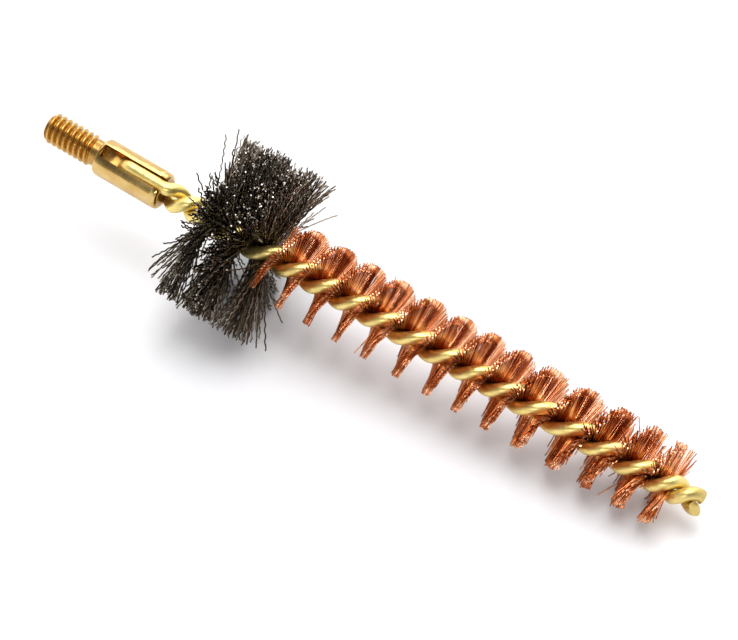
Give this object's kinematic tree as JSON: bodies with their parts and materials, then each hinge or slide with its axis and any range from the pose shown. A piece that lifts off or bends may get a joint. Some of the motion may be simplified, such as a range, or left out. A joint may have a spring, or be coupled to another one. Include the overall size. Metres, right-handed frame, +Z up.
{
  "type": "twisted wire brush",
  "caption": "Twisted-wire cleaning brush: threaded brass coupling, looped and twisted brass core wire, wide steel bristle collar and a long bronze bristle helix.",
  "frame": {"origin": "centre of the flat end face of the coupling's threaded stud", "axes": "+Z up from the bench the brush lies on; the brush axis runs from the stud to the nose in the XZ plane, along +X and 6 degrees below it, because the brush stands on the steel collar's rim and on the nose of the bronze section; the bench is at z = -14.22 mm"},
  "size_m": [0.0932, 0.0224, 0.0226],
  "materials": {
    "coupling_brass": "turned and pressed brass, bright, slightly tarnished in the thread",
    "core_wire_brass": "drawn pale brass wire, satin, twisted",
    "bronze_bristle": "fine straight phosphor bronze wires with bright cut ends",
    "steel_bristle": "dark crimped spring steel wires"
  },
  "bodies": {
    "root": {"threaded_coupling": "coupling_brass", "core_wire": "core_wire_brass", "steel_bristles_1": "steel_bristle", "steel_bristles_2": "steel_bristle", "steel_bristles_3": "steel_bristle", "steel_bristles_4": "steel_bristle", "steel_bristles_5": "steel_bristle", "steel_bristles_6": "steel_bristle", "steel_bristles_7": "steel_bristle", "steel_bristles_8": "steel_bristle", "bronze_fan_01a": "bronze_bristle", "bronze_fan_01b": "bronze_bristle", "bronze_fan_02a": "bronze_bristle", "bronze_fan_02b": "bronze_bristle", "bronze_fan_03a": "bronze_bristle", "bronze_fan_03b": "bronze_bristle", "bronze_fan_04a": "bronze_bristle", "bronze_fan_04b": "bronze_bristle", "bronze_fan_05a": "bronze_bristle", "bronze_fan_05b": "bronze_bristle", "bronze_fan_06a": "bronze_bristle", "bronze_fan_06b": "bronze_bristle", "bronze_fan_07a": "bronze_bristle", "bronze_fan_07b": "bronze_bristle", "bronze_fan_08a": "bronze_bristle", "bronze_fan_08b": "bronze_bristle", "bronze_fan_09a": "bronze_bristle", "bronze_fan_09b": "bronze_bristle", "bronze_fan_10a": "bronze_bristle", "bronze_fan_10b": "bronze_bristle", "bronze_fan_11a": "bronze_bristle", "bronze_fan_11b": "bronze_bristle", "bronze_fan_12a": "bronze_bristle", "bronze_fan_12b": "bronze_bristle", "bronze_fan_13a": "bronze_bristle", "bronze_fan_13b": "bronze_bristle"}
  },
  "joints": []
}
